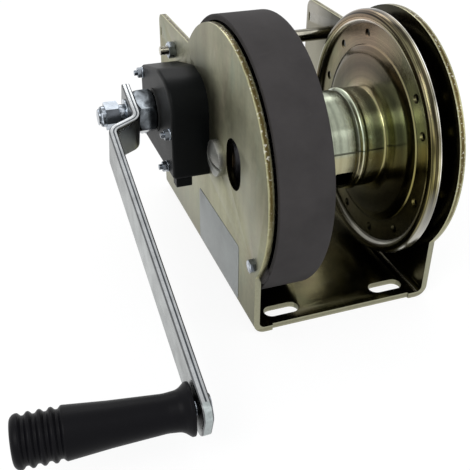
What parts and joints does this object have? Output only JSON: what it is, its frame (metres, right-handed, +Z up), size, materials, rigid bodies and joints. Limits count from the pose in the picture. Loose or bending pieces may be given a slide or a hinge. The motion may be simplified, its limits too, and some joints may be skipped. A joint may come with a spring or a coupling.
{
  "type": "hand winch",
  "caption": "Hand winch: folded side-plate frame, flanged rope drum, covered spur gear drive, boxed load brake and a bent crank with a turning grip.",
  "frame": {"origin": "centre of the four base slots, on the base's underside", "axes": "+X across the side plates, away from the crank; +Y towards the rear ears; +Z up, out of the base"},
  "size_m": [0.3728, 0.3829, 0.2305],
  "materials": {
    "yellow_zinc": "yellow zinc plate, semi-gloss",
    "bright_zinc": "bright zinc plate",
    "satin_zinc": "satin zinc plate with bright bevels",
    "ground_steel": "ground steel with a film of grease",
    "bronze": "sintered bronze",
    "cover_plastic": "flat dark grey",
    "black_plastic": "black, satin",
    "grip_plastic": "black, matte",
    "label_film": "pale grey film, bare",
    "friction_lining": "moulded brake lining",
    "nylon": "blue-grey nylon"
  },
  "bodies": {
    "frame_body": {"frame": "yellow_zinc", "label_plate": "label_film", "tie_rod": "bright_zinc", "tie_tube": "bright_zinc", "tie_nuts": "bright_zinc", "gear_cover": "cover_plastic", "cover_screws": "bright_zinc", "cover_nuts": "bright_zinc", "drum_axle": "yellow_zinc", "axle_washer": "bright_zinc", "axle_nut": "bright_zinc", "thrust_washers": "bronze", "bearing_bush": "bronze", "bearing_bracket": "ground_steel", "bracket_bush": "bronze", "bracket_posts": "bright_zinc", "brake_housing": "black_plastic", "housing_screws": "bright_zinc", "pawl_pin": "bright_zinc", "pawl_clip": "ground_steel", "pawl_spring": "bright_zinc", "spring_post": "bright_zinc"},
    "drum": {"drum_bushes": "bronze", "drum_barrel": "yellow_zinc", "flange_right": "yellow_zinc", "flange_left": "yellow_zinc", "hub_right": "ground_steel", "hub_left": "ground_steel", "drive_gear": "ground_steel", "gear_rivets": "ground_steel"},
    "crank": {"pinion_shaft": "ground_steel", "pressure_flange": "ground_steel", "friction_discs": "friction_lining", "ratchet_wheel": "ground_steel", "drive_nut": "bright_zinc", "crank_arm": "satin_zinc", "crank_washer": "bright_zinc", "crank_sleeve": "bright_zinc", "crank_nut": "bright_zinc", "nut_insert": "nylon", "grip_pin": "bright_zinc", "grip_washer": "black_plastic"},
    "grip": {"handle_grip": "grip_plastic", "grip_cap": "grip_plastic"},
    "pawl": {"pawl": "ground_steel"}
  },
  "joints": [
    {"name": "drum_spin", "type": "hinge", "parent": "frame_body", "child": "drum", "pos_m": [0, -0.0449, 0.1185], "axis": [1, 0, 0], "continuous": true},
    {"name": "crank_spin", "type": "hinge", "parent": "frame_body", "child": "crank", "pos_m": [-0.08, 0.03607, 0.13147], "axis": [1, 0, 0], "continuous": true},
    {"name": "grip_spin", "type": "hinge", "parent": "crank", "child": "grip", "pos_m": [-0.161, -0.23464, 0.04559], "axis": [0.9966, -0.0819, 0], "continuous": true},
    {"name": "pawl_swing", "type": "hinge", "parent": "frame_body", "child": "pawl", "pos_m": [-0.0943, 0.00347, 0.15997], "axis": [-1, 0, 0], "range_deg": [0, 5], "stiffness_Nm_per_rad": 0.05, "springref_deg": -17.19, "deforming": ["pawl_spring"]}
  ],
  "couplings": [
    {"joint": "crank_spin", "follows": "drum_spin", "ratio": -5.8333}
  ]
}
